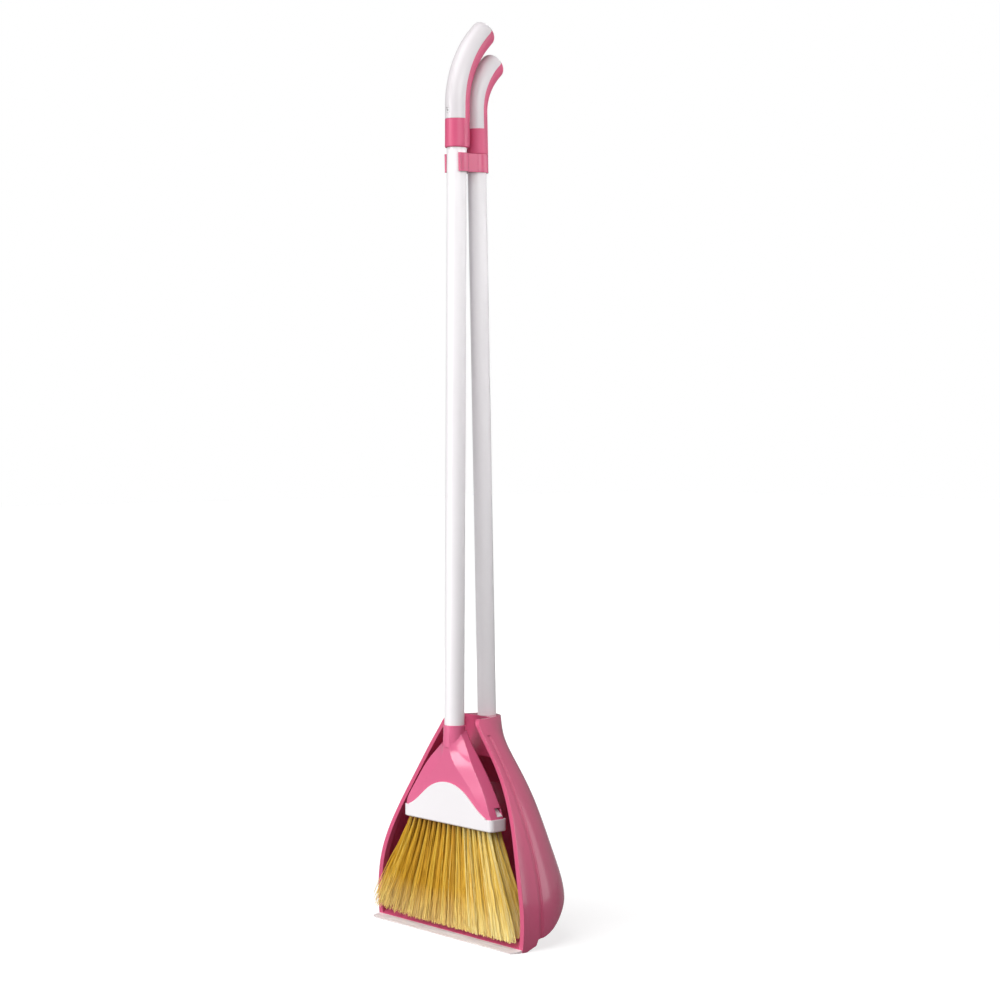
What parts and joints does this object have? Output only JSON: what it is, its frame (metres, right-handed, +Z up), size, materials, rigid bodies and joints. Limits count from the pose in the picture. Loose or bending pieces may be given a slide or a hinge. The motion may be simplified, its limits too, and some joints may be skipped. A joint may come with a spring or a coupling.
{
  "type": "dust pan and brush set",
  "caption": "Upright long-handled dust pan with a soft lip, and a broom that clips to its handle and stands in the pan; both have bent two-tone hand grips",
  "frame": {"origin": "on the floor, in the middle of the pan's flat land just behind its front edge", "axes": "+Z up, along the handles; -Y is the open front of the pan; X across the pan, which is symmetric about X = 0"},
  "size_m": [0.2356, 0.0892, 0.9162],
  "materials": {
    "pink_plastic": "glossy injection-moulded polypropylene",
    "white_plastic": "glossy white injection-moulded polypropylene",
    "soft_lip": "smooth translucent soft plastic",
    "white_tube": "thin steel tube with a smooth white coating",
    "inner_plastic": "plain moulded plastic, hidden",
    "bristle": "straw-coloured crimped plastic fibre",
    "steel": "zinc-plated steel"
  },
  "bodies": {
    "pan": {"pan_body": "pink_plastic", "pan_lip": "soft_lip", "pan_tube": "white_tube", "pan_tube_plug": "inner_plastic", "pan_tube_screw": "steel", "pan_grip_core": "pink_plastic", "pan_grip_shell": "white_plastic", "pan_grip_screw": "steel", "broom_clip": "pink_plastic"},
    "broom": {"broom_tube": "white_tube", "broom_tube_insert": "inner_plastic", "broom_grip_core": "pink_plastic", "broom_grip_shell": "white_plastic", "broom_grip_screw": "steel", "broom_head_cover": "pink_plastic", "bristle_block": "white_plastic", "bristles_front": "bristle", "bristles_middle": "bristle", "bristles_rear": "bristle", "tuft_anchors": "steel"}
  },
  "joints": [
    {"name": "broom_pull_out", "type": "slide", "parent": "pan", "child": "broom", "axis": [0, -1, 0], "range_m": [0, 0.16], "deforming": ["broom_clip"]}
  ]
}
